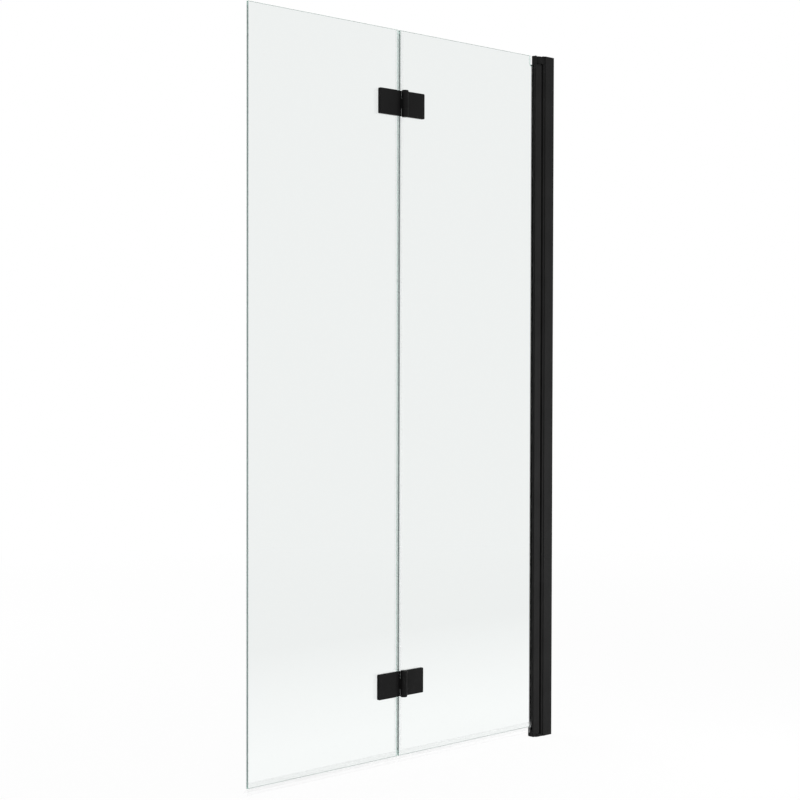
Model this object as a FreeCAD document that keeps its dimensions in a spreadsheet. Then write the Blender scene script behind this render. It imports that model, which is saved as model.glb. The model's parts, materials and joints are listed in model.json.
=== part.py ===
import FreeCAD
import Part
import Sketcher
import math
import os
import re

# Folding bath screen: an inner glass panel that swings on a wall post, and an outer panel that folds on it.
# Millimetres. The wall is the plane x = 0, the screen reaches along -x, the folding side faces -y, and the
# bath rim under the wall post is z = 0.

DRIVING_SIZES = {
    # Whole screen
    "screen_width": 800,          # wall face to the free edge of the glass
    "screen_height": 1400,        # bath rim to the top of the glass
    "post_rise": 2.5,             # top of the glass to the top of the wall post
    "outer_panel_width": 361.5,   # glass of the folding panel
    "seam_gap": 5,                # between the two panes
    "glass_thickness": 5,
    "glass_arris": 0.3,           # ground edge of a pane
    "glass_bottom": 23,           # bath rim to the bottom edge of the glass
    "glass_fit": 0.1,             # gap between glass and what holds it
    # Wall channel, a U section screwed to the wall
    "channel_width": 26,
    "channel_depth": 19,
    "channel_wall": 1.6,
    "channel_edge": 0.7,
    "wall_hole_radius": 3.2,
    "wall_hole_inset": 120,       # outer wall holes from the ends of the channel
    "wall_hole_middle": 386,      # distance between the two inner wall holes
    # Post, a U section that slides in the channel
    "post_reach": 30.5,           # wall face to the face of the post
    "post_width": 23.5,
    "post_wall": 1.8,
    "post_fit": 0.2,
    "port_radius": 1.7,           # screw ports of the extruded sections
    "port_wall": 1.5,
    "port_blend": 0.6,            # how far a port runs into the wall beside it
    "post_port_inset": 21,        # wall face to the port on the back leg
    "post_port_step": 7,          # from there to the port on the front leg, towards the wall
    "post_clamp_inset": 14,       # wall face to the clamp screws
    "post_clamp_spacing": 447,
    # Seal strip in the face of the post
    "strip_neck": 2.4,
    "strip_foot": 4.6,
    "strip_foot_depth": 1.6,
    "strip_mouth_depth": 1.4,
    "strip_rib": 1.7,             # wall round the foot of the strip
    "strip_fit": 0.1,
    "strip_lip": 5.4,
    "strip_lip_depth": 0.7,
    # Pivot profile that carries the inner glass
    "pivot_gap": 1,               # face of the post to the round nose of the profile
    "pivot_width": 22.8,
    "pivot_depth": 15,
    "pivot_corner": 1.2,
    "nose_bore": 5,               # radius of the round chamber in the nose
    "pivot_bottom": 15,
    "pivot_top_drop": 19,         # top of the glass to the top of the profile
    "glass_insert": 7.5,          # glass inside the profile
    "setting_gap": 0.5,           # glass edge to the floor of its slot
    "glazing_gasket": 1.6,
    "gasket_lip": 1.2,
    "notch_clear": 10.5,          # notch in the top corner of the inner pane, from the face of the profile
    "notch_cover": 2,             # how far the notch runs inside the profile
    "notch_radius": 5,
    # Bearings of the swing axis
    "foot_height": 14,
    "foot_eye_height": 5,
    "arm_height": 16,
    "eye_drop": 1.5,              # top of the post to the top of the upper eye
    "bearing_gap": 2.5,
    "pivot_pin_radius": 3,
    "pivot_pin_cover": 1.2,       # metal left beyond the fixed end of a pin
    "pivot_pin_reach": 10,        # pin inside the profile
    "pin_chamfer": 0.4,
    "running_fit": 0.05,          # pin in its bush, on the radius
    "press_gap": 0.02,            # pressed pieces, on the radius
    "flange_gap": 0.1,            # flange of a bush to the face that it turns on
    "bush_length": 14,            # bush inside the profile
    "pivot_flange": 1,
    "bush_wall": 1.2,
    "bush_flange_inset": 0.3,     # barrel to the flanges between its knuckles
    "bush_parting": 0.5,          # from the middle of a hinge to the end of each bush
    "boss_setback": 2,            # face of the profile to the boss of the top cap
    "boss_depth": 9.6,
    "boss_drop": 0.8,             # top of the post to the top of the boss
    "boss_gap": 0.7,              # eye of a bearing to the cap beside it
    "cap_clear": 1,               # bath rim to the bottom cap
    "cap_edge": 2,
    "spigot_length": 10,
    "spigot_width": 3,
    "spigot_fit": 0.2,
    # Set screws that hold the bushes
    "set_screw_radius": 1.5,
    "set_screw_rise": 8,          # end of the profile to a set screw
    "set_screw_sink": 0.3,
    "set_screw_socket": 0.9,
    "set_screw_socket_depth": 1.2,
    # Small countersunk screws of the bearings and the end caps
    "port_screw_length": 25,
    "port_screw_head": 3.2,
    "port_screw_gap": 0.25,
    "thread_gap": 0.05,
    "seat_gap": 0.1,              # countersunk head in its seat
    "countersink": 45,            # degrees from the axis
    # Pan head screws that clamp the post, and their covers
    "post_screw_radius": 2,
    "post_screw_length": 8,
    "post_screw_head": 4,
    "post_screw_head_height": 2.4,
    "cover_gap": 0.4,
    "cover_wall": 1.2,
    "cover_round": 1,
    # Panel hinges
    "upper_hinge_drop": 138.5,    # top of the glass to the middle of the upper hinge
    "lower_hinge_rise": 138.5,    # bottom of the glass to the middle of the lower hinge
    "hinge_height": 48,
    "fold_offset": 8,             # face of the glass to the fold axis
    "fold_shift": 7.5,            # middle of the seam to the fold axis, towards the wall
    "barrel_radius": 6.7,
    "barrel_gap": 0.8,
    "side_knuckle": 13,
    "knuckle_gap": 1,
    "fixed_reach": 54,            # fold axis to the far end of a plate
    "moving_reach": 63,
    "moving_start": 18.5,         # fold axis to the thick part of the moving plate
    "recess_depth": 3,            # step down from there to the strip beside the barrel
    "strip_end": 3.2,             # fold axis to the end of that strip, behind the barrel
    "strip_clear": 0.5,           # barrel to the hollow end of that strip
    "leaf_thickness": 5.5,
    "leaf_gasket": 1,
    "gasket_inset": 0.6,
    "leaf_corner": 2,
    "leaf_edge": 0.6,
    "hinge_pin_radius": 3,
    "pin_head_radius": 6.2,
    "pin_head_height": 1.2,
    "clamp_inset": 22,            # far end of a plate to its screws
    "clamp_spacing": 24,
    "clamp_screw_radius": 2.5,
    "clamp_screw_head": 9,        # broad cone, flush in the back of the glass
    "clamp_head_depth": 3,
    "clamp_screw_gap": 0.3,
    "clamp_thread_depth": 4,
    "clamp_thread_spare": 0.4,
    "clamp_collar": 0.8,          # room for the collar between a head and the glass, on the radius
    "clamp_fit": 0.1,
    "hex_socket": 1.7,            # circle through the corners of a socket
    "clamp_hex_socket": 2.3,
    "hex_depth": 1.3,
    # Clear seals
    "seal_wall": 1,
    "seal_leg": 10,
    "seal_base": 1.9,
    "fin_length": 10.5,
    "fin_thickness": 0.8,
    "wing_reach": 8,
    "wing_root": 1.1,
    "wing_tip": 0.5,
    "seal_end_gap": 0.4,          # bottom seal to the glazing gaskets
    "centre_wall": 0.9,
    "centre_leg": 8,
    "centre_flap": 10,            # flap behind the outer pane, from the inner pane's edge
    "flap_gap": 0.3,
    "centre_end_gap": 1,          # centre seal to hinges and bottom seal
    # Working value
    "overrun": 1,                 # cuts run past the faces that they open
}

DERIVED_SIZES = {
    "half_glass": "glass_thickness / 2",
    "half_channel": "channel_depth / 2",
    "half_post": "half_channel - channel_wall - post_fit",
    "half_pivot": "pivot_depth / 2",
    "pivot_right": "-post_reach - pivot_gap",
    "pivot_left": "pivot_right - pivot_width",
    "pivot_top": "screen_height - pivot_top_drop",
    "slot_half": "half_glass + glazing_gasket",
    "slot_floor": "pivot_left + glass_insert + setting_gap",
    "swing_across": "pivot_right - half_pivot",
    "post_top": "screen_height + post_rise",
    "arm_bottom": "post_top - arm_height",
    "cap_top": "arm_bottom - bearing_gap",
    "cap_bottom": "foot_eye_height + bearing_gap",
    "boss_right": "swing_across - half_pivot - boss_gap",
    "bush_radius": "nose_bore - press_gap",
    "port_outer": "port_radius + port_wall",
    "post_port_deep": "half_post - post_wall - port_outer + port_blend",
    "port_screw_radius": "port_radius - thread_gap",
    "port_head_depth": "port_screw_head - port_screw_radius",
    "hinge_bush_radius": "hinge_pin_radius + running_fit + bush_wall",
    "seam_across": "outer_panel_width + seam_gap / 2 - screen_width",
    "fold_across": "seam_across + fold_shift",
    "fold_deep": "-half_glass - fold_offset",
    "upper_hinge_up": "screen_height - upper_hinge_drop",
    "lower_hinge_up": "glass_bottom + lower_hinge_rise",
    "half_hinge": "hinge_height / 2",
    "half_knuckle": "half_hinge - side_knuckle - knuckle_gap",
    "leaf_start": "barrel_radius + barrel_gap",
    "leaf_front": "fold_offset - leaf_gasket - leaf_thickness",
    "leaf_back": "fold_offset - leaf_gasket",
    "glass_back": "fold_offset + glass_thickness",
    "clamp_seat": "clamp_screw_head + clamp_collar",
    "clamp_hole": "clamp_seat - clamp_head_depth",
    "seal_inside": "half_glass + glass_fit",
    "seal_outside": "seal_inside + seal_wall",
    "seal_floor": "glass_bottom - glass_fit",
    "seal_under": "seal_floor - seal_base",
    "seal_top": "glass_bottom + seal_leg",
    "inner_edge": "seam_across + seam_gap / 2",
    "outer_edge": "seam_across - seam_gap / 2",
    "centre_outside": "seal_inside + centre_wall",
    "centre_base": "inner_edge - glass_fit",
}

doc = FreeCAD.newDocument("bath_screen")
sheet = doc.addObject("Spreadsheet::Sheet", "Sizes")
for row, (name, number) in enumerate(DRIVING_SIZES.items(), start=1):
    sheet.set(f"A{row}", name)
    sheet.set(f"B{row}", str(number))
    sheet.setAlias(f"B{row}", name)
for row, (name, formula) in enumerate(DERIVED_SIZES.items(), start=1):
    sheet.set(f"C{row}", name)
    sheet.set(f"D{row}", f"={formula}")
    sheet.setAlias(f"D{row}", name)
doc.recompute()
SIZE_NAMES = {**DRIVING_SIZES, **DERIVED_SIZES}
UP = FreeCAD.Vector(0, 0, 1)
TOUCHING = 1e-4  # how near to a plane an edge counts as lying in it
pieces = []


def from_sheet(word):
    """A word of a formula, read from the sheet where it names a size."""
    return f"Sizes.{word[0]}" if word[0] in SIZE_NAMES else word[0]


def tied(formula):
    """The formula with each size read from the sheet."""
    return re.sub(r"[a-z_]+", from_sheet, formula)


def worth(formula):
    """The present value of a formula."""
    return float(sheet.evalExpression(formula))


def new_piece(label, across="0", deep="0", up="0"):
    """An empty body, with its own origin at the given place."""
    piece = doc.addObject("PartDesign::Body", label)
    piece.Label = label
    for axis, formula in (("x", across), ("y", deep), ("z", up)):
        piece.setExpression(f"Placement.Base.{axis}", tied(formula))
    pieces.append(piece)
    return piece


def hold(drawing, kind, formula, *places):
    """Add a dimension to a drawing and bind it to a formula."""
    index = drawing.addConstraint(Sketcher.Constraint(kind, *places, worth(formula)))
    drawing.setExpression(f"Constraints[{index}]", tied(formula))


def hold_point(drawing, element, end, place):
    """Hold one point of a drawing at two formulas, across and up from the drawing's origin."""
    hold(drawing, "DistanceX", place[0], -1, 1, element, end)
    hold(drawing, "DistanceY", place[1], -1, 1, element, end)


def shifted(place, directions, radius):
    """A place moved by the radius along each of the given axis directions."""
    across, up = place
    for step_across, step_up in directions:
        across = f"({across}) + {step_across} * ({radius})"
        up = f"({up}) + {step_up} * ({radius})"
    return across, up


def vector(place):
    """The present position of a place in its drawing."""
    return FreeCAD.Vector(worth(place[0]), worth(place[1]), 0)


def direction(start, end):
    """The axis direction of a straight run."""
    run = vector(end) - vector(start)
    return round(run.x / run.Length), round(run.y / run.Length)


def bearing(centre, point):
    """The angle at which a point lies about a centre."""
    return math.atan2(point.y - centre.y, point.x - centre.x)


def draw_outline(drawing, corners):
    """A closed outline. A corner is two formulas, or three where it is rounded between square runs."""
    runs = len(corners)
    entries = []
    exits = []
    centres = []
    turns = []
    for index, corner in enumerate(corners):
        place = corner[:2]
        if len(corner) < 3:
            entries.append(place)
            exits.append(place)
            centres.append(None)
            turns.append(0)
            continue
        before = direction(corners[index - 1], place)
        after = direction(place, corners[(index + 1) % runs])
        back = (-before[0], -before[1])
        entries.append(shifted(place, [back], corner[2]))
        exits.append(shifted(place, [after], corner[2]))
        centres.append(shifted(place, [back, after], corner[2]))
        turns.append(before[0] * after[1] - before[1] * after[0])
    lines = []
    for index in range(runs):
        run = Part.LineSegment(vector(exits[index]), vector(entries[(index + 1) % runs]))
        lines.append(drawing.addGeometry(run, False))
    for index, corner in enumerate(corners):
        last = lines[index - 1]
        if centres[index] is None:
            drawing.addConstraint(Sketcher.Constraint("Coincident", last, 2, lines[index], 1))
        else:
            ends = (entries[index], exits[index])
            if turns[index] < 0:
                ends = (exits[index], entries[index])
            centre = vector(centres[index])
            start, end = [bearing(centre, vector(place)) for place in ends]
            circle = Part.Circle(centre, UP, worth(corner[2]))
            arc = drawing.addGeometry(Part.ArcOfCircle(circle, start, end), False)
            arc_entry, arc_exit = (1, 2) if turns[index] > 0 else (2, 1)
            drawing.addConstraint(Sketcher.Constraint("Coincident", last, 2, arc, arc_entry))
            drawing.addConstraint(Sketcher.Constraint("Coincident", arc, arc_exit, lines[index], 1))
            hold(drawing, "Radius", corner[2], arc)
            hold_point(drawing, last, 2, entries[index])
        hold_point(drawing, lines[index], 1, exits[index])


def draw_circle(drawing, across, up, radius):
    """A circle about a place."""
    circle = drawing.addGeometry(Part.Circle(vector((across, up)), UP, worth(radius)), False)
    hold_point(drawing, circle, 3, (across, up))
    hold(drawing, "Radius", radius, circle)


def draw_hexagon(drawing, across, up, radius):
    """A hexagon in a circle about a place, with corners above and below its middle."""
    corners = []
    for corner in range(6):
        angle = f"(30 + {corner} * 60) * 1deg"
        corners.append((f"({across}) + ({radius}) * cos({angle})", f"({up}) + ({radius}) * sin({angle})"))
    draw_outline(drawing, corners)


def extrude(piece, plane, start, length, outlines=(), circles=(), hexagons=(), cut=False, taper=None):
    """Draw on one of the body's origin planes, moved to start, and add or cut along its normal.

    The normals are +z for XY, -y for XZ and +x for YZ.
    """
    drawing = piece.newObject("Sketcher::SketchObject", f"{piece.Label}_drawing")
    support = [feature for feature in piece.Origin.OriginFeatures if feature.Role == f"{plane}_Plane"]
    drawing.AttachmentSupport = [(support[0], "")]
    drawing.MapMode = "FlatFace"
    drawing.setExpression("AttachmentOffset.Base.z", tied(start))
    for corners in outlines:
        draw_outline(drawing, corners)
    for circle in circles:
        draw_circle(drawing, *circle)
    for hexagon in hexagons:
        draw_hexagon(drawing, *hexagon)
    kind = "Pocket" if cut else "Pad"
    made = piece.newObject(f"PartDesign::{kind}", f"{piece.Label}_{kind.lower()}")
    made.Profile = drawing
    made.setExpression("Length", tied(length))
    made.Reversed = cut
    if taper is not None:
        made.setExpression("TaperAngle", tied(taper))
    return made


def soften(piece, kind, size, chosen):
    """Chamfer or fillet the edges of a body that a test chooses."""
    doc.recompute()
    tip = piece.Tip
    names = [f"Edge{index}" for index, edge in enumerate(tip.Shape.Edges, start=1) if chosen(edge)]
    if not names:
        raise RuntimeError(f"{piece.Label} has no edge to soften")
    made = piece.newObject(f"PartDesign::{kind}", f"{piece.Label}_{kind.lower()}")
    made.Base = (tip, names)
    made.setExpression("Size" if kind == "Chamfer" else "Radius", tied(size))


def flat_at(axis, *formulas):
    """A test for edges that lie in one of the planes across an axis."""
    levels = [worth(formula) for formula in formulas]

    def chosen(edge):
        ends = (getattr(edge.BoundBox, f"{axis}Min"), getattr(edge.BoundBox, f"{axis}Max"))
        return any(all(abs(end - level) < TOUCHING for end in ends) for level in levels)

    return chosen


def long_edges_at(axis, *formulas):
    """The same test, for edges that aren't the rims of round holes."""
    flat = flat_at(axis, *formulas)
    return lambda edge: flat(edge) and not edge.isClosed()


def box(left, right, low, high, radius=None):
    """The four corners of a rectangle, rounded where a radius is given."""
    corners = [(left, low), (right, low), (right, high), (left, high)]
    if radius is None:
        return corners
    return [(across, up, radius) for across, up in corners]


# Places that holes and screws share

post_ports = [
    ("-post_port_inset", "post_port_deep"),
    ("post_port_step - post_port_inset", "-post_port_deep"),
]
swing_axis = ("swing_across", "0")
set_screws = [
    ("swing_across", "pivot_bottom + set_screw_rise"),
    ("swing_across", "pivot_top - set_screw_rise"),
]
wall_holes = [
    ("0", "wall_hole_inset"),
    ("0", "(screen_height - wall_hole_middle) / 2"),
    ("0", "(screen_height + wall_hole_middle) / 2"),
    ("0", "screen_height - wall_hole_inset"),
]
post_clamps = [
    ("-post_clamp_inset", f"screen_height / 2 + {step} * post_clamp_spacing") for step in (-1, 0, 1)
]


def rings(places, radius):
    """A circle of one radius at each place."""
    return [(across, up, radius) for across, up in places]


def make_wall_channel():
    """U section on the wall, with screw holes in its web and clamp screw holes in its inner leg."""
    piece = new_piece("wall_channel")
    inside = "half_channel - channel_wall"
    section = [
        ("0", "-half_channel"),
        ("0", "half_channel"),
        ("-channel_width", "half_channel", "channel_edge"),
        ("-channel_width", inside),
        ("-channel_wall", inside),
        ("-channel_wall", f"-({inside})"),
        ("-channel_width", f"-({inside})"),
        ("-channel_width", "-half_channel", "channel_edge"),
    ]
    extrude(piece, "XY", "0", "post_top", [section])
    through = "channel_wall + 2 * overrun"
    screw_holes = rings(wall_holes, "wall_hole_radius")
    extrude(piece, "YZ", "-channel_wall - overrun", through, circles=screw_holes, cut=True)
    clamp_holes = rings(post_clamps, "post_screw_radius + port_screw_gap")
    extrude(piece, "XZ", "-half_channel - overrun", through, circles=clamp_holes, cut=True)


def make_post_profile():
    """U section in the channel, open to the wall, with a slot for the seal strip and two screw ports."""
    piece = new_piece("post_profile")
    face = "-post_reach"
    inside_face = "post_wall - post_reach"
    open_end = "post_width - post_reach"
    inside = "half_post - post_wall"
    rib_low = "-strip_foot / 2 - strip_rib"
    rib_high = "strip_foot / 2 + strip_rib"
    rib_face = "strip_mouth_depth + strip_foot_depth + strip_rib - post_reach"
    section = [
        (face, "-half_post"),
        (open_end, "-half_post"),
        (open_end, f"-({inside})"),
        (inside_face, f"-({inside})"),
        (inside_face, rib_low),
        (rib_face, rib_low),
        (rib_face, rib_high),
        (inside_face, rib_high),
        (inside_face, inside),
        (open_end, inside),
        (open_end, "half_post"),
        (face, "half_post"),
    ]
    length = "arm_bottom - foot_height"
    extrude(piece, "XY", "foot_height", length, [section])
    extrude(piece, "XY", "foot_height", length, circles=rings(post_ports, "port_outer"))
    mouth = box(f"{face} - overrun", f"{face} + strip_mouth_depth + strip_foot_depth / 2",
                "-strip_neck / 2", "strip_neck / 2")
    foot = box(f"{face} + strip_mouth_depth", f"{face} + strip_mouth_depth + strip_foot_depth",
               "-strip_foot / 2", "strip_foot / 2")
    for slot in (mouth, foot):
        extrude(piece, "XY", "foot_height - overrun", f"{length} + 2 * overrun", [slot], cut=True)
    bores = rings(post_ports, "port_radius")
    extrude(piece, "XY", "foot_height - overrun", f"{length} + 2 * overrun", circles=bores, cut=True)
    clamp_holes = rings(post_clamps, "post_screw_radius + thread_gap")
    extrude(piece, "XZ", "-half_post - overrun", "post_wall + 2 * overrun", circles=clamp_holes, cut=True)


def make_post_seal():
    """Soft strip with its foot in the slot of the post and its lip in the gap to the pivot profile."""
    piece = new_piece("post_seal")
    face = "-post_reach"
    foot_start = f"{face} + strip_mouth_depth + strip_fit"
    foot_end = f"{face} + strip_mouth_depth + strip_foot_depth - strip_fit"
    neck = "strip_neck / 2 - strip_fit"
    foot = "strip_foot / 2 - strip_fit"
    half = [(foot_end, foot), (foot_start, foot), (foot_start, neck), (face, neck), (face, "strip_lip / 2"),
            (f"{face} - strip_lip_depth", "strip_lip / 4")]
    section = half + [(across, f"-({deep})") for across, deep in reversed(half)]
    extrude(piece, "XY", "foot_height", "arm_bottom - foot_height", [section])


def eye_outline():
    """Neck of a bearing, from its block to the swing axis."""
    return box("swing_across", "-post_reach", "-half_pivot", "half_pivot")


def make_top_bearing_arm():
    """Block that closes the top of the post and reaches out as an eye over the pivot profile."""
    piece = new_piece("top_bearing_arm")
    block = box("-post_reach", "-channel_wall - post_fit", "-half_post", "half_post")
    extrude(piece, "XY", "arm_bottom", "arm_height", [block])
    eye_height = "arm_height - eye_drop"
    extrude(piece, "XY", "arm_bottom", eye_height, [eye_outline()])
    extrude(piece, "XY", "arm_bottom", eye_height, circles=rings([swing_axis], "half_pivot"))
    extrude(piece, "XY", "arm_bottom - spigot_length", "spigot_length", [post_spigot()])
    pin_bore = rings([swing_axis], "pivot_pin_radius + press_gap")
    bore_depth = f"{eye_height} - pivot_pin_cover"
    extrude(piece, "XY", "arm_bottom - overrun", f"{bore_depth} + overrun", circles=pin_bore, cut=True)
    cut_screw_seats(piece, post_ports, "arm_bottom", "arm_height", facing_up=True)


def make_bottom_bearing_foot():
    """Block that closes the bottom of the post and reaches out as a low eye under the pivot profile."""
    piece = new_piece("bottom_bearing_foot")
    block = box("-post_reach", "-channel_wall - post_fit", "-half_post", "half_post")
    extrude(piece, "XY", "0", "foot_height", [block])
    extrude(piece, "XY", "0", "foot_eye_height", [eye_outline()])
    extrude(piece, "XY", "0", "foot_eye_height", circles=rings([swing_axis], "half_pivot"))
    extrude(piece, "XY", "foot_height", "spigot_length", [post_spigot()])
    pin_bore = rings([swing_axis], "pivot_pin_radius + press_gap")
    extrude(piece, "XY", "pivot_pin_cover", "foot_eye_height", circles=pin_bore, cut=True)
    cut_screw_seats(piece, post_ports, "0", "foot_height", facing_up=False)


def post_spigot():
    """Outline of the tongue that a bearing pushes into the hollow of the post."""
    left = "post_port_step - post_port_inset + port_outer + spigot_fit"
    inside = "half_post - post_wall - spigot_fit"
    return box(left, f"{left} + spigot_width", f"-({inside})", inside)


def cut_screw_seats(piece, places, start, thickness, facing_up):
    """Clearance holes through a block, with a countersunk seat in its upper or lower face."""
    holes = rings(places, "port_screw_radius + port_screw_gap")
    extrude(piece, "XY", f"{start} - overrun", f"{thickness} + 2 * overrun", circles=holes, cut=True)
    if facing_up:
        seats = rings(places, "port_screw_radius + seat_gap")
        seat_start = f"{start} + {thickness} - port_head_depth"
        extrude(piece, "XY", seat_start, "port_head_depth", circles=seats, cut=True, taper="countersink")
    else:
        seats = rings(places, "port_screw_head + seat_gap")
        extrude(piece, "XY", start, "port_head_depth", circles=seats, cut=True, taper="-countersink")


def add_port_screws(piece, places, face, facing_up):
    """Countersunk screws with their heads flush in a face."""
    shanks = rings(places, "port_screw_radius")
    sockets = rings(places, "hex_socket")
    if facing_up:
        extrude(piece, "XY", f"{face} - port_screw_length", "port_screw_length", circles=shanks)
        head_start = f"{face} - port_head_depth"
        extrude(piece, "XY", head_start, "port_head_depth", circles=shanks, taper="countersink")
        extrude(piece, "XY", f"{face} - hex_depth", "hex_depth", hexagons=sockets, cut=True)
    else:
        heads = rings(places, "port_screw_head")
        extrude(piece, "XY", face, "port_screw_length", circles=shanks)
        extrude(piece, "XY", face, "port_head_depth", circles=heads, taper="-countersink")
        extrude(piece, "XY", face, "hex_depth", hexagons=sockets, cut=True)


def make_bearing_screws():
    """Screws of the bearing arm and foot, one node."""
    piece = new_piece("bearing_screws")
    add_port_screws(piece, post_ports, "post_top", facing_up=True)
    add_port_screws(piece, post_ports, "0", facing_up=False)


def make_set_screws():
    """Set screws through the back of the profile that hold the bushes, one node."""
    piece = new_piece("bush_set_screws")
    face = "set_screw_sink - half_pivot"
    length = "half_pivot - set_screw_sink - nose_bore"
    extrude(piece, "XZ", face, length, circles=rings(set_screws, "set_screw_radius"))
    sockets = rings(set_screws, "set_screw_socket")
    extrude(piece, "XZ", face, "set_screw_socket_depth", hexagons=sockets, cut=True)


def make_pin(label, low, high):
    """Plain pin on the swing axis with chamfered ends."""
    piece = new_piece(label)
    extrude(piece, "XY", low, f"{high} - ({low})", circles=rings([swing_axis], "pivot_pin_radius"))
    soften(piece, "Chamfer", "pin_chamfer", flat_at("Z", low, high))


def make_pivot_pins():
    """Pins that the inner panel swings on."""
    make_pin("top_pivot_pin", "pivot_top - pivot_pin_reach", "post_top - eye_drop - pivot_pin_cover")
    make_pin("bottom_pivot_pin", "pivot_pin_cover", "pivot_bottom + pivot_pin_reach")


def make_pivot_bush(label, low, high, flange_low):
    """Flanged bush round a pivot pin, pushed through an end cap into the nose of the profile."""
    piece = new_piece(label)
    extrude(piece, "XY", low, f"{high} - ({low})", circles=rings([swing_axis], "bush_radius"))
    flange = rings([swing_axis], "bush_radius + pivot_flange")
    extrude(piece, "XY", flange_low, "bearing_gap - flange_gap", circles=flange)
    bore = rings([swing_axis], "pivot_pin_radius + running_fit")
    reach = f"{high} - ({low}) + 2 * (bearing_gap + overrun)"
    extrude(piece, "XY", f"{low} - bearing_gap - overrun", reach, circles=bore, cut=True)


def make_pivot_bushes():
    """Bushes at both ends of the pivot profile."""
    make_pivot_bush("top_pivot_bush", "pivot_top - bush_length", "cap_top", "cap_top")
    flange_low = "foot_eye_height + flange_gap"
    make_pivot_bush("bottom_pivot_bush", "cap_bottom", "pivot_bottom + bush_length", flange_low)


def make_post_clamp_screws():
    """Pan head screws through the inner legs of channel and post, one node."""
    piece = new_piece("post_clamp_screws")
    head_start = "-half_channel - post_screw_head_height"
    heads = rings(post_clamps, "post_screw_head")
    extrude(piece, "XZ", head_start, "post_screw_head_height", circles=heads)
    shanks = rings(post_clamps, "post_screw_radius")
    extrude(piece, "XZ", "-half_channel", "post_screw_length", circles=shanks)
    sockets = rings(post_clamps, "clamp_hex_socket")
    extrude(piece, "XZ", head_start, "hex_depth", hexagons=sockets, cut=True)


def make_screw_covers():
    """Snap covers over the clamp screws, one node."""
    piece = new_piece("screw_cover_caps")
    inner = "post_screw_head + cover_gap"
    deep = "post_screw_head_height + cover_gap"
    start = f"-half_channel - ({deep}) - cover_wall"
    extrude(piece, "XZ", start, f"{deep} + cover_wall", circles=rings(post_clamps, f"{inner} + cover_wall"))
    soften(piece, "Fillet", "cover_round", flat_at("Y", f"-({start})"))
    hollows = rings(post_clamps, inner)
    extrude(piece, "XZ", f"{start} + cover_wall", f"{deep} + overrun", circles=hollows, cut=True)


def pivot_outline():
    """Plan of the pivot profile without its round nose."""
    return [
        ("swing_across", "half_pivot"),
        ("pivot_left", "half_pivot", "pivot_corner"),
        ("pivot_left", "-half_pivot", "pivot_corner"),
        ("swing_across", "-half_pivot"),
    ]


def make_pivot_profile():
    """Extruded section with a glazing slot and a round nose that holds the bushes."""
    piece = new_piece("pivot_profile")
    length = "pivot_top - pivot_bottom"
    extrude(piece, "XY", "pivot_bottom", length, [pivot_outline()])
    extrude(piece, "XY", "pivot_bottom", length, circles=rings([swing_axis], "half_pivot"))
    through = f"{length} + 2 * overrun"
    slot = box("pivot_left - overrun", "slot_floor", "-slot_half", "slot_half")
    extrude(piece, "XY", "pivot_bottom - overrun", through, [slot], cut=True)
    chamber = rings([swing_axis], "nose_bore")
    extrude(piece, "XY", "pivot_bottom - overrun", through, circles=chamber, cut=True)
    holes = rings(set_screws, "set_screw_radius + thread_gap")
    extrude(piece, "XZ", "-half_pivot - overrun", "half_pivot + overrun", circles=holes, cut=True)


def make_glazing_gaskets():
    """Wedge strips on both faces of the inner glass, with a lip over the mouth of the slot, one node."""
    piece = new_piece("glazing_gaskets")
    half = [
        ("slot_floor", "half_glass + glass_fit"),
        ("slot_floor", "slot_half"),
        ("pivot_left", "slot_half"),
        ("pivot_left", "slot_half + gasket_lip"),
        ("pivot_left - gasket_lip / 2", "slot_half + gasket_lip"),
        ("pivot_left - gasket_lip", "half_glass + glass_fit"),
    ]
    mirrored = [(across, f"-({deep})") for across, deep in half]
    extrude(piece, "XY", "glass_bottom", "pivot_top - notch_cover - glass_bottom", [half, mirrored])


def make_top_cap():
    """Plate on the end of the profile, with a boss that stands beside the bearing arm."""
    piece = new_piece("pivot_top_cap")
    plate = "cap_top - pivot_top"
    extrude(piece, "XY", "pivot_top", plate, [pivot_outline()])
    extrude(piece, "XY", "pivot_top", plate, circles=rings([swing_axis], "half_pivot"))
    boss = box("pivot_left + boss_setback", "boss_right", "-boss_depth / 2", "boss_depth / 2")
    extrude(piece, "XY", "pivot_top", "post_top - boss_drop - pivot_top", [boss])
    bore = rings([swing_axis], "nose_bore")
    extrude(piece, "XY", "pivot_top - overrun", f"{plate} + 2 * overrun", circles=bore, cut=True)


def make_bottom_cap():
    """Block on the end of the profile, with a rounded toe that reaches down beside the bearing foot."""
    piece = new_piece("pivot_bottom_cap")
    toe = [
        ("boss_right", "half_pivot"),
        ("pivot_left", "half_pivot", "pivot_corner"),
        ("pivot_left", "-half_pivot", "pivot_corner"),
        ("boss_right", "-half_pivot"),
    ]
    extrude(piece, "XY", "cap_clear", "pivot_bottom - cap_clear", [toe])
    under = flat_at("Z", "cap_clear")
    toe_end = worth("boss_right") - TOUCHING
    soften(piece, "Fillet", "cap_edge", lambda edge: under(edge) and edge.BoundBox.XMin < toe_end)
    plate = "pivot_bottom - cap_bottom"
    extrude(piece, "XY", "cap_bottom", plate, [pivot_outline()])
    extrude(piece, "XY", "cap_bottom", plate, circles=rings([swing_axis], "half_pivot"))
    bore = rings([swing_axis], "nose_bore")
    extrude(piece, "XY", "cap_bottom - overrun", f"{plate} + 2 * overrun", circles=bore, cut=True)


def clamp_places(side, reach, middle):
    """Where the clamp screws of one hinge plate pass, about a hinge middle."""
    across = f"{side} * ({reach} - clamp_inset)"
    return [(across, f"{middle} + clamp_spacing / 2"), (across, f"{middle} - clamp_spacing / 2")]


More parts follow.
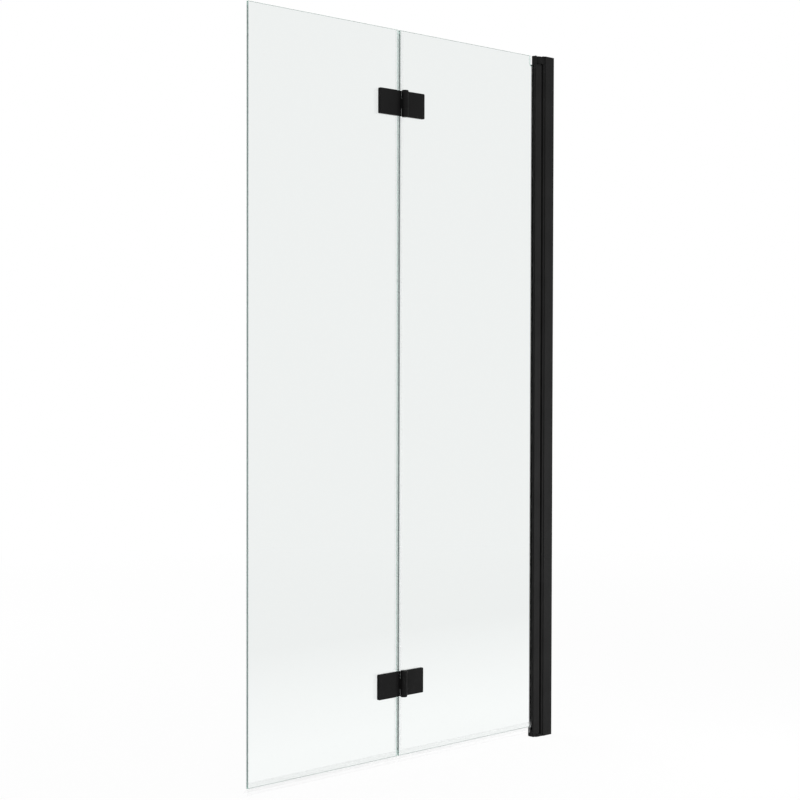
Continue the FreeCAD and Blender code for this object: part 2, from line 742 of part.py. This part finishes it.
def make_pane(label, outline, side, reach):
    """Glass pane with ground edges and the countersunk holes of its hinge plates."""
    piece = new_piece(label)
    extrude(piece, "XZ", "-half_glass", "glass_thickness", [outline])
    holes = []
    for middle in ("upper_hinge_up", "lower_hinge_up"):
        for across, up in clamp_places(side, reach, middle):
            holes.append((f"fold_across + {across}", up))
    through = "glass_thickness + 2 * overrun"
    extrude(piece, "XZ", "-half_glass - overrun", through, circles=rings(holes, "clamp_hole"), cut=True)
    seats = rings(holes, "clamp_seat")
    extrude(piece, "XZ", "-half_glass", "clamp_head_depth", circles=seats, cut=True, taper="-countersink")
    soften(piece, "Chamfer", "glass_arris", long_edges_at("Y", "half_glass", "-half_glass"))


def make_panes():
    """The inner pane has a notch in its top corner, beside the bearing arm."""
    wall_edge = "pivot_left + glass_insert"
    notch_edge = "pivot_left - notch_clear"
    notch_low = "pivot_top - notch_cover"
    inner = [
        ("inner_edge", "glass_bottom"),
        (wall_edge, "glass_bottom"),
        (wall_edge, notch_low),
        (notch_edge, notch_low, "notch_radius"),
        (notch_edge, "screen_height"),
        ("inner_edge", "screen_height"),
    ]
    make_pane("inner_glass", inner, 1, "fixed_reach")
    outer = box("-screen_width", "outer_edge", "glass_bottom", "screen_height")
    make_pane("outer_glass", outer, -1, "moving_reach")


def make_bottom_seal(label, left, right):
    """Clear clip under a pane, with a fin towards the bath rim and a drip wing on the bath side."""
    piece = new_piece(label)
    fin = "fin_thickness / 2"
    section = [
        (f"-{fin}", "seal_under - fin_length"),
        (fin, "seal_under - fin_length"),
        (fin, "seal_under"),
        ("seal_outside - wing_root", "seal_under"),
        ("seal_outside - wing_root + wing_reach", "seal_under - wing_reach"),
        ("seal_outside - wing_root + wing_reach + wing_tip", "seal_under - wing_reach + wing_tip"),
        ("seal_outside", "seal_under + wing_root / 2"),
        ("seal_outside", "seal_top"),
        ("seal_inside", "seal_top"),
        ("seal_inside", "seal_floor"),
        ("-seal_inside", "seal_floor"),
        ("-seal_inside", "seal_top"),
        ("-seal_outside", "seal_top"),
        ("-seal_outside", "seal_under"),
        (f"-{fin}", "seal_under"),
    ]
    extrude(piece, "YZ", left, f"{right} - ({left})", [section])


def make_centre_seal():
    """Clear channel on the seam edge of the inner pane, with a flap behind the outer pane."""
    piece = new_piece("centre_seal")
    base = "centre_base - centre_wall"
    leg_end = "inner_edge + centre_leg"
    flap_end = "inner_edge - centre_flap"
    section = [
        (base, "-centre_outside"),
        (leg_end, "-centre_outside"),
        (leg_end, "-seal_inside"),
        ("centre_base", "-seal_inside"),
        ("centre_base", "seal_inside"),
        (leg_end, "seal_inside"),
        (leg_end, "centre_outside"),
        (flap_end, "centre_outside"),
        (flap_end, "half_glass + flap_gap"),
        (base, "half_glass + flap_gap"),
    ]
    clear = "half_hinge + pin_head_height + centre_end_gap"
    stretches = [
        ("seal_top + centre_end_gap", f"lower_hinge_up - ({clear})"),
        (f"lower_hinge_up + {clear}", f"upper_hinge_up - ({clear})"),
        (f"upper_hinge_up + {clear}", "screen_height"),
    ]
    for low, high in stretches:
        extrude(piece, "XY", low, f"{high} - ({low})", [section])


def leaf_outline(near, far, inset="0"):
    """Face of a hinge plate between two distances from the fold axis, with its far corners rounded."""
    low = f"-half_hinge + {inset}"
    high = f"half_hinge - {inset}"
    corner = f"leaf_corner - {inset}"
    return [(near, low), (far, low, corner), (far, high, corner), (near, high)]


def make_hinge_leaf(label, up, side, reach, knuckles, bore):
    """Front plate of a hinge with its knuckles and blind threads for the clamp screws.

    The moving plate steps down beside the barrel to a strip whose hollow end closes the gap behind it.
    """
    piece = new_piece(label, "fold_across", "fold_deep", up)
    start = "leaf_start" if side > 0 else "-moving_start"
    extrude(piece, "XZ", "-leaf_back", "leaf_thickness", [leaf_outline(start, f"{side} * {reach}")])
    soften(piece, "Chamfer", "leaf_edge", flat_at("Y", "leaf_front"))
    through = "hinge_height + 2 * overrun"
    if side < 0:
        strip = box("-moving_start - leaf_edge", "-strip_end", "-half_hinge", "half_hinge")
        extrude(piece, "XZ", "-leaf_back", "leaf_thickness - recess_depth", [strip])
        hollow = [("0", "0", "barrel_radius + strip_clear")]
        extrude(piece, "XY", "-half_hinge - overrun", through, circles=hollow, cut=True)
    near, far = ("0", "leaf_start + leaf_edge") if side > 0 else ("-leaf_start - leaf_edge", "0")
    web = box(near, far, "leaf_front", "leaf_back")
    for low, high in knuckles:
        extrude(piece, "XY", low, f"{high} - ({low})", [web])
        extrude(piece, "XY", low, f"{high} - ({low})", circles=[("0", "0", "barrel_radius")])
    extrude(piece, "XY", "-half_hinge - overrun", through, circles=[("0", "0", bore)], cut=True)
    threads = rings(clamp_places(side, reach, "0"), "clamp_screw_radius + thread_gap")
    depth = "clamp_thread_depth + clamp_thread_spare"
    extrude(piece, "XZ", "-leaf_back - overrun", f"{depth} + overrun", circles=threads, cut=True)


def make_hinge_gaskets(label, up, side, reach):
    """Pad between plate and glass, with collars that line the holes of the glass. One node."""
    piece = new_piece(label, "fold_across", "fold_deep", up)
    places = clamp_places(side, reach, "0")
    start = "leaf_start" if side > 0 else "outer_edge - fold_across - gasket_inset"
    pad = leaf_outline(start, f"{side} * ({reach} - gasket_inset)", "gasket_inset")
    extrude(piece, "XZ", "-fold_offset + glass_fit", "leaf_gasket - glass_fit", [pad])
    cones = rings(places, "clamp_seat - clamp_fit")
    extrude(piece, "XZ", "-glass_back", "clamp_head_depth", circles=cones, taper="-countersink")
    sleeve_start = "clamp_head_depth - glass_back"
    sleeves = rings(places, "clamp_hole - clamp_fit")
    extrude(piece, "XZ", sleeve_start, "glass_thickness - clamp_head_depth + glass_fit", circles=sleeves)
    heads = rings(places, "clamp_screw_head + clamp_fit")
    extrude(piece, "XZ", "-glass_back", "clamp_head_depth", circles=heads, cut=True, taper="-countersink")
    bores = rings(places, "clamp_screw_radius + clamp_screw_gap")
    through = "glass_back - leaf_back + 2 * overrun"
    extrude(piece, "XZ", "-glass_back - overrun", through, circles=bores, cut=True)


def make_clamp_screws(label, up, side, reach):
    """Screws with broad conical heads, flush in the back of the glass, that draw a leaf to it. One node."""
    piece = new_piece(label, "fold_across", "fold_deep", up)
    places = clamp_places(side, reach, "0")
    length = "glass_back - leaf_back + clamp_thread_depth"
    extrude(piece, "XZ", "-glass_back", length, circles=rings(places, "clamp_screw_radius"))
    heads = rings(places, "clamp_screw_head")
    extrude(piece, "XZ", "-glass_back", "clamp_head_depth", circles=heads, taper="-countersink")
    extrude(piece, "XZ", "-glass_back", "hex_depth", hexagons=rings(places, "clamp_hex_socket"), cut=True)


def make_hinge_pin(label, up):
    """Riveted pin whose heads close the ends of the barrel."""
    piece = new_piece(label, "fold_across", "fold_deep", up)
    extrude(piece, "XY", "-half_hinge", "hinge_height", circles=[("0", "0", "hinge_pin_radius")])
    for low in ("half_hinge", "-half_hinge - pin_head_height"):
        extrude(piece, "XY", low, "pin_head_height", circles=[("0", "0", "pin_head_radius")])
    tip = "half_hinge + pin_head_height"
    soften(piece, "Chamfer", "pin_chamfer", flat_at("Z", tip, f"-({tip})"))


def make_hinge_bushes(label, up):
    """Two flanged bushes, pushed into the middle knuckle from either end, one node."""
    piece = new_piece(label, "fold_across", "fold_deep", up)
    tube_length = "half_knuckle - bush_parting"
    flange_height = "knuckle_gap - flange_gap"
    tube = [("0", "0", "hinge_bush_radius")]
    flange = [("0", "0", "barrel_radius - bush_flange_inset")]
    ends = [("bush_parting", "half_knuckle"), ("-half_knuckle", f"-half_knuckle - ({flange_height})")]
    for tube_low, flange_low in ends:
        extrude(piece, "XY", tube_low, tube_length, circles=tube)
        extrude(piece, "XY", flange_low, flange_height, circles=flange)
    bore = [("0", "0", "hinge_pin_radius + running_fit")]
    extrude(piece, "XY", "-half_hinge - overrun", "hinge_height + 2 * overrun", circles=bore, cut=True)


def make_hinge(name, up):
    """One hinge: its outer knuckles are on the inner panel, the middle one is on the outer panel."""
    low_knuckle = ("-half_hinge", "side_knuckle - half_hinge")
    high_knuckle = ("half_hinge - side_knuckle", "half_hinge")
    middle_knuckle = [("-half_knuckle", "half_knuckle")]
    sides = [
        ("fixed", 1, "fixed_reach", [low_knuckle, high_knuckle], "hinge_pin_radius + press_gap"),
        ("moving", -1, "moving_reach", middle_knuckle, "hinge_bush_radius + press_gap"),
    ]
    for role, side, reach, knuckles, bore in sides:
        make_hinge_leaf(f"{name}_{role}_leaf", up, side, reach, knuckles, bore)
        make_hinge_gaskets(f"{name}_{role}_gaskets", up, side, reach)
        make_clamp_screws(f"{name}_{role}_screws", up, side, reach)
    make_hinge_pin(f"{name}_pin", up)
    make_hinge_bushes(f"{name}_bushes", up)


make_wall_channel()
make_post_profile()
make_post_seal()
make_top_bearing_arm()
make_bottom_bearing_foot()
make_bearing_screws()
make_pivot_pins()
make_pivot_bushes()
make_post_clamp_screws()
make_screw_covers()
make_pivot_profile()
make_glazing_gaskets()
make_top_cap()
make_bottom_cap()
make_set_screws()
make_panes()
make_bottom_seal("inner_bottom_seal", "inner_edge", "pivot_left - gasket_lip - seal_end_gap")
make_bottom_seal("outer_bottom_seal", "-screen_width", "outer_edge")
make_centre_seal()
make_hinge("upper_hinge", "upper_hinge_up")
make_hinge("lower_hinge", "lower_hinge_up")
doc.recompute()

for made in doc.Objects:
    if "Invalid" in made.State or "Error" in made.State:
        raise RuntimeError(f"{made.Label} failed: {made.State}")
    if made.TypeId == "PartDesign::Pocket" and made.Shape.Volume >= made.BaseFeature.Shape.Volume:
        raise RuntimeError(f"{made.Label} cuts nothing")
for piece in pieces:
    if piece.Shape.isNull() or not piece.Shape.isValid():
        raise RuntimeError(f"{piece.Label} has no valid shape")

os.makedirs("parts", exist_ok=True)
for piece in pieces:
    piece.Shape.exportStep(f"parts/{piece.Label}.step")
    print(piece.Label, len(piece.Shape.Solids), round(piece.Shape.Volume))
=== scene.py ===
"""Looks of the folding bath screen: materials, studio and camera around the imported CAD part."""
import json
import math

import bpy
from mathutils import Matrix, Vector

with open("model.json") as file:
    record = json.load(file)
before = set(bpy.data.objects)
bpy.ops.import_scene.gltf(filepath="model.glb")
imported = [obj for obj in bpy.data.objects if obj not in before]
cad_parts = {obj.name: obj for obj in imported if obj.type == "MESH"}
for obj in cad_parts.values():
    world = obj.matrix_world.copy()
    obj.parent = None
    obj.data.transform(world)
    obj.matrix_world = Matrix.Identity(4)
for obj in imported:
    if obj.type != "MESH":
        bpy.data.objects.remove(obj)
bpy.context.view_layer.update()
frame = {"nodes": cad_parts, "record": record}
nodes = frame["nodes"]

# The camera, found from the edges of the screen in the photograph: metres, radians and pixels
IMAGE_SIZE = 800
FOCAL_PIXELS = 1670.7
SENSOR_MM = 36
CAMERA_PLACE = Vector((-2.62981, -2.28836, 0.76468))
CAMERA_YAW = -0.76566
CAMERA_PITCH = 0.02003
CAMERA_ROLL = 0.00214

# Studio, in metres
FLOOR_RADIUS = 6.0
FLOOR_SIDES = 96
FLOOR_GREY = 0.86
FLOOR_ROUGHNESS = 0.8
FLOOR_PAINTED_LIGHT = (0.25, 1.2)       # where the painted pool of light on the floor, seen in gloss and through glass, fades out, from the plane of the screen
FLOOR_FADE = (1.2, 3.6)       # where the shadow fades out, from the post
FLOOR_WHITE = (0.95, 1.0)     # how much of the floor is plain white, by the post and far from it
PAINTED_LIGHT_LEVEL = 1.0             # the painted pool of light on the floor by the screen, as seen in gloss and through glass
PALE_LEVEL = 0.905            # the background, as seen in gloss and through glass
FILL_LEVEL = 0.3              # light that the background gives
LAMPS = {                     # place, point that it faces, side in metres, watts
    "key": (Vector((-1.9, -2.8, 1.8)), Vector((-0.3, 0.0, 0.6)), 1.6, 30),
    "top": (Vector((-0.6, -0.3, 3.2)), Vector((-0.4, 0.0, 0.7)), 2.4, 30),
    "back": (Vector((-0.9, 2.6, 1.6)), Vector((-0.4, 0.0, 0.7)), 2.0, 40),
    "strip": (Vector((0.15, -0.75, 0.5)), Vector((-0.05, 0.0, 0.5)), 0.4, 4.5),
}

# Finishes: linear colours, and specular levels
COAT_SPECULAR = 0.06
RUBBER_SPECULAR = 0.2
BUSH_SPECULAR = 0.1
GLASS_IOR = 1.5
GLASS_FACE = (0.953, 0.975, 0.967)
GLASS_EDGE = (0.56, 0.83, 0.75)
GLASS_EDGE_ROUGHNESS = 0.85
GLASS_FACING = {"start": 0.6, "end": 0.9}    # how squarely edges and faces look along Y
GLASS_DEPTH_COLOUR = (0.45, 0.80, 0.70, 1.0)
GLASS_DEPTH_DENSITY = 1.6
SEAL_IOR = 1.45


def grey(level):
    """A colour without hue."""
    return (level, level, level)


def largest(tree, *sources):
    """The largest of several numbers."""
    total = sources[0]
    for source in sources[1:]:
        pick = tree.nodes.new("ShaderNodeMath")
        pick.operation = "MAXIMUM"
        tree.links.new(total, pick.inputs[0])
        tree.links.new(source, pick.inputs[1])
        total = pick.outputs["Value"]
    return total


class Recipe:
    """A material under construction, with short calls for the nodes that it needs."""

    def __init__(self, name):
        self.material = bpy.data.materials.new(name)
        self.material.use_nodes = True
        self.tree = self.material.node_tree
        self.shader = self.tree.nodes["Principled BSDF"]
        self.output = self.tree.nodes["Material Output"]
        spot = self.node("ShaderNodeTexCoord").outputs
        self.place = spot["Object"]
        self.facing = spot["Normal"]

    def node(self, kind, **settings):
        made = self.tree.nodes.new(kind)
        for word, value in settings.items():
            setattr(made, word, value)
        return made

    def link(self, source, target):
        self.tree.links.new(source, target)

    def noise(self, scale, detail=3.0, stretch=None):
        """Noise at so many grains to the metre, drawn out along an axis where stretch says so."""
        made = self.node("ShaderNodeTexNoise")
        made.inputs["Scale"].default_value = scale
        made.inputs["Detail"].default_value = detail
        place = self.place
        if stretch:
            mapping = self.node("ShaderNodeMapping")
            mapping.inputs["Scale"].default_value = stretch
            self.link(place, mapping.inputs["Vector"])
            place = mapping.outputs["Vector"]
        self.link(place, made.inputs["Vector"])
        return made.outputs["Fac"]

    def off_screen_plane(self, vector):
        """The size of a vector's part along Y, square to the screen."""
        parts = self.node("ShaderNodeSeparateXYZ")
        self.link(vector, parts.inputs["Vector"])
        size = self.node("ShaderNodeMath", operation="ABSOLUTE")
        self.link(parts.outputs["Y"], size.inputs[0])
        return size.outputs["Value"]

    def ramp(self, source, low, high, start=0.3, end=0.7):
        """Colour that runs from low to high as the source runs from start to end."""
        made = self.node("ShaderNodeValToRGB")
        first, last = made.color_ramp.elements
        first.position, first.color = start, (*low, 1.0)
        last.position, last.color = end, (*high, 1.0)
        self.link(source, made.inputs["Fac"])
        return made.outputs["Color"]

    def span(self, source, low, high, start=0.3, end=0.7):
        """Number that runs from low to high as the source runs from start to end."""
        made = self.node("ShaderNodeMapRange")
        for word, value in (("From Min", start), ("From Max", end), ("To Min", low), ("To Max", high)):
            made.inputs[word].default_value = value
        self.link(source, made.inputs["Value"])
        return made.outputs["Result"]

    def bump(self, source, depth, strength):
        """Relief of a depth in metres."""
        made = self.node("ShaderNodeBump")
        made.inputs["Distance"].default_value = depth
        made.inputs["Strength"].default_value = strength
        self.link(source, made.inputs["Height"])
        self.link(made.outputs["Normal"], self.shader.inputs["Normal"])

    def set(self, **values):
        """Values that are the same all over the surface, by socket name with _ for a space."""
        for word, value in values.items():
            self.shader.inputs[word.replace("_", " ")].default_value = value

    def feed(self, socket, source):
        self.link(source, self.shader.inputs[socket])


def powder_coat(name, dark, light, grain, smooth, rough):
    """Satin black powder coat: a fine orange peel, with flow marks that change its colour a little."""
    recipe = Recipe(name)
    flow = recipe.noise(scale=14.0, detail=4.0)
    recipe.feed("Base Color", recipe.ramp(flow, low=grey(dark), high=grey(light)))
    peel = recipe.noise(scale=grain, detail=2.0)
    recipe.feed("Roughness", recipe.span(peel, low=smooth, high=rough))
    recipe.bump(peel, depth=0.00004, strength=0.5)
    recipe.set(Specular_IOR_Level=COAT_SPECULAR)
    return recipe.material


def moulding(name):
    """Matt black plastic with the fine spark texture of its mould."""
    recipe = Recipe(name)
    flow = recipe.noise(scale=60.0)
    recipe.feed("Base Color", recipe.ramp(flow, low=grey(0.010), high=grey(0.014)))
    spark = recipe.noise(scale=2600.0, detail=4.0)
    recipe.feed("Roughness", recipe.span(spark, low=0.5, high=0.68))
    recipe.bump(spark, depth=0.00005, strength=0.6)
    recipe.set(Specular_IOR_Level=COAT_SPECULAR)
    return recipe.material


def rubber(name):
    """Extruded black rubber, with faint lines along its length."""
    recipe = Recipe(name)
    lines = recipe.noise(scale=700.0, stretch=(1.0, 1.0, 0.004))
    recipe.feed("Base Color", recipe.ramp(lines, low=grey(0.010), high=grey(0.018)))
    recipe.feed("Roughness", recipe.span(lines, low=0.62, high=0.82))
    recipe.bump(lines, depth=0.00006, strength=0.5)
    recipe.set(Specular_IOR_Level=RUBBER_SPECULAR)
    return recipe.material


def bush(name):
    """Turned black acetal, with a slight sheen and the rings of the tool."""
    recipe = Recipe(name)
    rings = recipe.noise(scale=1800.0, detail=1.0, stretch=(0.02, 0.02, 1.0))
    recipe.feed("Base Color", recipe.ramp(rings, low=grey(0.006), high=grey(0.010)))
    recipe.feed("Roughness", recipe.span(rings, low=0.3, high=0.42))
    recipe.bump(rings, depth=0.00002, strength=0.4)
    recipe.set(Specular_IOR_Level=BUSH_SPECULAR)
    return recipe.material


def steel(name):
    """Turned stainless steel of pins and screws, with the fine rings of the tool."""
    recipe = Recipe(name)
    rings = recipe.noise(scale=2200.0, detail=2.0, stretch=(0.05, 0.05, 1.0))
    recipe.feed("Base Color", recipe.ramp(rings, low=(0.48, 0.48, 0.49), high=(0.60, 0.60, 0.61)))
    recipe.feed("Roughness", recipe.span(rings, low=0.22, high=0.36))
    recipe.bump(rings, depth=0.00002, strength=0.4)
    recipe.set(Metallic=1.0)
    return recipe.material


def glass(name):
    """Clear float glass: clear faces with a faint film, and ground edges of a deeper grey-green."""
    recipe = Recipe(name)
    face = recipe.off_screen_plane(recipe.facing)
    recipe.feed("Base Color", recipe.ramp(face, low=GLASS_EDGE, high=GLASS_FACE, **GLASS_FACING))
    film = recipe.span(recipe.noise(scale=9.0, detail=5.0), low=0.0, high=0.01, start=0.45, end=0.8)
    ground = recipe.span(face, low=GLASS_EDGE_ROUGHNESS, high=0.0, **GLASS_FACING)
    recipe.feed("Roughness", largest(recipe.tree, film, ground))
    recipe.set(Transmission_Weight=1.0, IOR=GLASS_IOR)
    absorb = recipe.node("ShaderNodeVolumeAbsorption")
    absorb.inputs["Color"].default_value = GLASS_DEPTH_COLOUR
    absorb.inputs["Density"].default_value = GLASS_DEPTH_DENSITY
    recipe.link(absorb.outputs["Volume"], recipe.output.inputs["Volume"])
    return recipe.material


def clear_seal(name):
    """Clear soft plastic: mostly see-through, a little milky, with the drawn lines of the extrusion."""
    recipe = Recipe(name)
    lines = recipe.noise(scale=500.0, detail=2.0, stretch=(0.01, 1.0, 1.0))
    recipe.feed("Base Color", recipe.ramp(lines, low=(0.90, 0.91, 0.91), high=(0.96, 0.965, 0.965)))
    recipe.feed("Alpha", recipe.span(lines, low=0.05, high=0.09))
    recipe.feed("Roughness", recipe.span(lines, low=0.16, high=0.30))
    recipe.bump(lines, depth=0.00005, strength=0.3)
    recipe.set(IOR=SEAL_IOR)
    return recipe.material


finishes = {
    "black_profile": powder_coat(
        "black_profile", dark=0.012, light=0.016, grain=1100.0, smooth=0.42, rough=0.54),
    "black_hinge": powder_coat(
        "black_hinge", dark=0.008, light=0.011, grain=1500.0, smooth=0.40, rough=0.52),
    "black_moulding": moulding("black_moulding"),
    "clear_glass": glass("clear_glass"),
    "clear_seal": clear_seal("clear_seal"),
    "black_rubber": rubber("black_rubber"),
    "black_bush": bush("black_bush"),
    "screw_steel": steel("screw_steel"),
}
for subpart in frame["record"]["subparts"]:
    mesh = nodes[subpart["node"]].data
    mesh.materials.clear()
    mesh.materials.append(finishes[subpart["material_slot"]])


def background_level(tree):
    """White to the eye, nearly white in gloss and through glass, and a soft fill for all else."""
    path = tree.nodes.new("ShaderNodeLightPath").outputs
    mirrored = tree.nodes.new("ShaderNodeMapRange")
    mirrored.inputs["To Min"].default_value = FILL_LEVEL
    mirrored.inputs["To Max"].default_value = PALE_LEVEL
    reflected = largest(tree, path["Is Glossy Ray"], path["Is Transmission Ray"])
    tree.links.new(reflected, mirrored.inputs["Value"])
    return largest(tree, path["Is Camera Ray"], mirrored.outputs["Result"])


def make_world():
    """Plain background."""
    world = bpy.data.worlds.new("studio")
    world.use_nodes = True
    background = world.node_tree.nodes["Background"]
    background.inputs["Color"].default_value = (1.0, 1.0, 1.0, 1.0)
    world.node_tree.links.new(background_level(world.node_tree), background.inputs["Strength"])
    bpy.context.scene.world = world


def floor_material():
    """Pale floor that takes shadows, mixed with the plain white of the background where it is seen, and
    with a painted pool of light by the screen that gloss and glass see.
    """
    recipe = Recipe("floor")
    recipe.set(Base_Color=(*grey(FLOOR_GREY), 1.0), Roughness=FLOOR_ROUGHNESS)
    glow = recipe.node("ShaderNodeEmission")
    # Painted light: a strip of floor by the screen glows whiter in gloss and through glass, fading with
    # distance from the screen
    painted_light = recipe.span(recipe.off_screen_plane(recipe.place), PAINTED_LIGHT_LEVEL, PALE_LEVEL, *FLOOR_PAINTED_LIGHT)
    recipe.link(largest(recipe.tree, painted_light, background_level(recipe.tree)), glow.inputs["Strength"])
    distance = recipe.node("ShaderNodeVectorMath", operation="LENGTH")
    recipe.link(recipe.place, distance.inputs[0])
    path = recipe.node("ShaderNodeLightPath").outputs
    seen = largest(recipe.tree, path["Is Camera Ray"], path["Is Glossy Ray"], path["Is Transmission Ray"])
    share = recipe.node("ShaderNodeMath", operation="MULTIPLY")
    recipe.link(seen, share.inputs[0])
    recipe.link(recipe.span(distance.outputs["Value"], *FLOOR_WHITE, *FLOOR_FADE), share.inputs[1])
    mix = recipe.node("ShaderNodeMixShader")
    recipe.link(share.outputs["Value"], mix.inputs["Fac"])
    recipe.link(recipe.shader.outputs["BSDF"], mix.inputs[1])
    recipe.link(glow.outputs["Emission"], mix.inputs[2])
    recipe.link(mix.outputs["Shader"], recipe.output.inputs["Surface"])
    return recipe.material


def make_floor():
    """Round floor at the height of the bath rim."""
    mesh = bpy.data.meshes.new("floor")
    angles = [2 * math.pi * step / FLOOR_SIDES for step in range(FLOOR_SIDES)]
    rim = [(FLOOR_RADIUS * math.cos(angle), FLOOR_RADIUS * math.sin(angle), 0.0) for angle in angles]
    mesh.from_pydata(rim, [], [list(range(FLOOR_SIDES))])
    floor = bpy.data.objects.new("floor", mesh)
    bpy.context.scene.collection.objects.link(floor)
    mesh.materials.append(floor_material())


def make_lamp(name, place, aim, size, watts):
    """Square soft box that faces a point, and that no mirror or pane shows."""
    lamp = bpy.data.lights.new(name, "AREA")
    lamp.shape = "SQUARE"
    lamp.size = size
    lamp.energy = watts
    holder = bpy.data.objects.new(name, lamp)
    holder.location = place
    holder.rotation_euler = (aim - place).to_track_quat("-Z", "Y").to_euler()
    holder.visible_camera = False
    holder.visible_glossy = False
    holder.visible_transmission = False
    bpy.context.scene.collection.objects.link(holder)


def make_camera():
    """Camera at the viewing angle of the photograph."""
    camera = bpy.data.cameras.new("camera")
    camera.sensor_width = SENSOR_MM
    camera.lens = FOCAL_PIXELS * SENSOR_MM / IMAGE_SIZE
    holder = bpy.data.objects.new("camera", camera)
    turn = Matrix.Rotation(CAMERA_YAW, 4, "Z") @ Matrix.Rotation(math.pi / 2 - CAMERA_PITCH, 4, "X")
    holder.matrix_world = Matrix.Translation(CAMERA_PLACE) @ turn @ Matrix.Rotation(CAMERA_ROLL, 4, "Z")
    bpy.context.scene.collection.objects.link(holder)
    bpy.context.scene.camera = holder


make_world()
make_floor()
for lamp_name, lamp_settings in LAMPS.items():
    make_lamp(lamp_name, *lamp_settings)
make_camera()
bpy.context.scene.view_settings.view_transform = "Standard"
